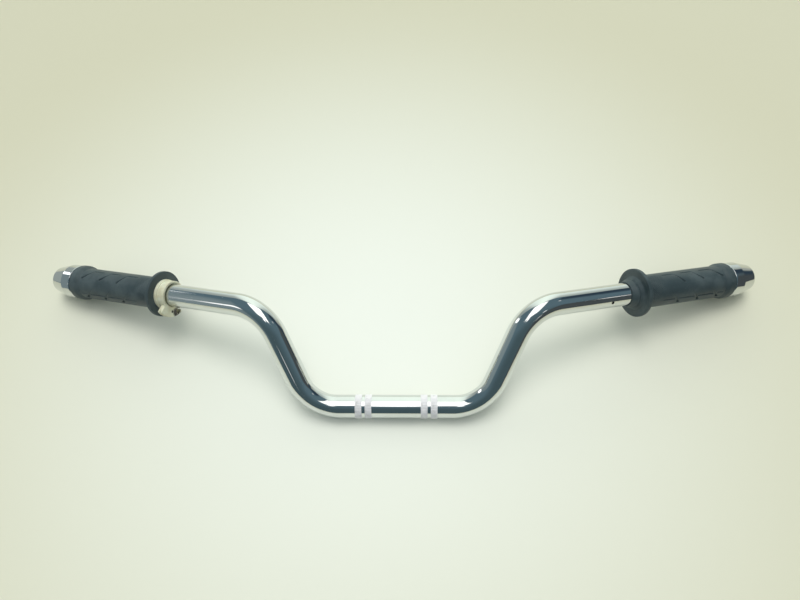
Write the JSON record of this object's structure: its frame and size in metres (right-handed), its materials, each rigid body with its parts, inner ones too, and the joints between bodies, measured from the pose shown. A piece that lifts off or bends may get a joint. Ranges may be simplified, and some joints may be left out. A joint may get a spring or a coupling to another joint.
{
  "type": "motorcycle handlebar",
  "caption": "Bent chromed tube handlebar with knurled clamp seats, rubber grips, a turning throttle tube with cable drum and screwed bar-end weights.",
  "frame": {"origin": "middle of the clamp section, on the tube's axis", "axes": "+X to the rider's left grip, along the clamp section; +Y the way the risers climb as the bar lies on a table; +Z away from the table, towards the motorcycle's front"},
  "size_m": [0.7376, 0.1663, 0.0782],
  "materials": {
    "tube_chrome": "bright decorative chrome, lightly pitted",
    "weight_chrome": "mirror chrome",
    "grip_rubber": "matt, slate black, dusty",
    "throttle_nylon": "aged ivory nylon",
    "screw_zinc": "zinc plated",
    "dark_steel": "oiled, blackened",
    "spring_steel": "tempered",
    "cushion_rubber": "matt black"
  },
  "bodies": {
    "bar": {"handlebar_tube": "tube_chrome", "left_grip": "grip_rubber", "left_end_weight": "weight_chrome", "left_weight_screw": "screw_zinc", "left_lock_washer": "spring_steel", "left_inner_weight": "dark_steel", "left_outer_cushion": "cushion_rubber", "left_inner_cushion": "cushion_rubber", "left_weight_retainer": "spring_steel", "right_end_weight": "weight_chrome", "right_weight_screw": "screw_zinc", "right_lock_washer": "spring_steel", "right_inner_weight": "dark_steel", "right_outer_cushion": "cushion_rubber", "right_inner_cushion": "cushion_rubber", "right_weight_retainer": "spring_steel"},
    "throttle": {"throttle_tube": "throttle_nylon", "throttle_grip": "grip_rubber"}
  },
  "joints": [
    {"name": "throttle_twist", "type": "hinge", "parent": "bar", "child": "throttle", "pos_m": [-0.27939, 0.11794, 0.02302], "axis": [-0.9375, 0.2613, -0.2297], "range_deg": [0, 80]}
  ]
}
